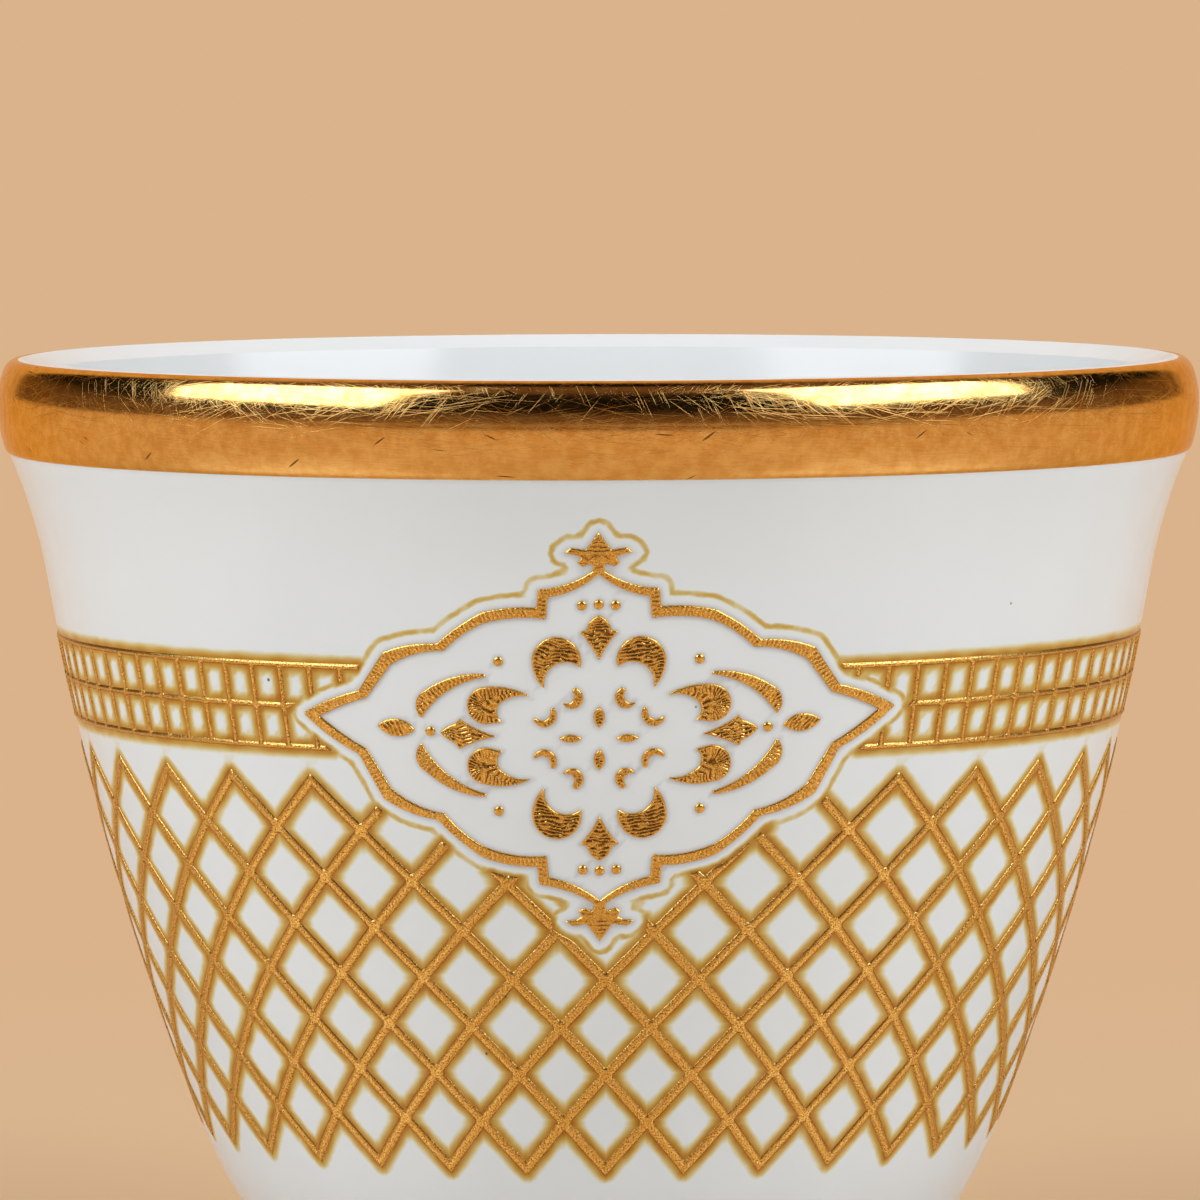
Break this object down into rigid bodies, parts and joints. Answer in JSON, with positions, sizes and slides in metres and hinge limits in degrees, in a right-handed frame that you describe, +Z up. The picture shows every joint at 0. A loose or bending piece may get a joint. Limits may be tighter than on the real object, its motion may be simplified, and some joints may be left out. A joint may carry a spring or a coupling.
{
  "type": "arabic coffee cup",
  "caption": "Small handle-less coffee cup in white porcelain with a flared gilded lip, a foot ring, and a raised gold ladder band, diamond lattice and medallions.",
  "frame": {"origin": "on the axis of the cup, at the level of the foot ring's standing face", "axes": "+Z up along the axis of the cup, -Y out through the middle of the front medallion"},
  "size_m": [0.062, 0.062, 0.05],
  "materials": {
    "porcelain": "clear gloss glaze over white porcelain",
    "rim_gold": "bright polished gilding with fine rubbing marks",
    "raised_gold": "satin grained gilding"
  },
  "bodies": {
    "root": {"cup_body": "porcelain", "rim_band": "rim_gold", "ladder_band_left": "raised_gold", "ladder_band_right": "raised_gold", "diamond_lattice": "raised_gold", "front_frame": "raised_gold", "front_petals": "raised_gold", "front_horns": "raised_gold", "front_scrolls": "raised_gold", "front_kites": "raised_gold", "front_leaves": "raised_gold", "front_hooks": "raised_gold", "front_lozenges": "raised_gold", "front_dots": "raised_gold", "back_frame": "raised_gold", "back_petals": "raised_gold", "back_horns": "raised_gold", "back_scrolls": "raised_gold", "back_kites": "raised_gold", "back_leaves": "raised_gold", "back_hooks": "raised_gold", "back_lozenges": "raised_gold", "back_dots": "raised_gold"}
  },
  "joints": []
}
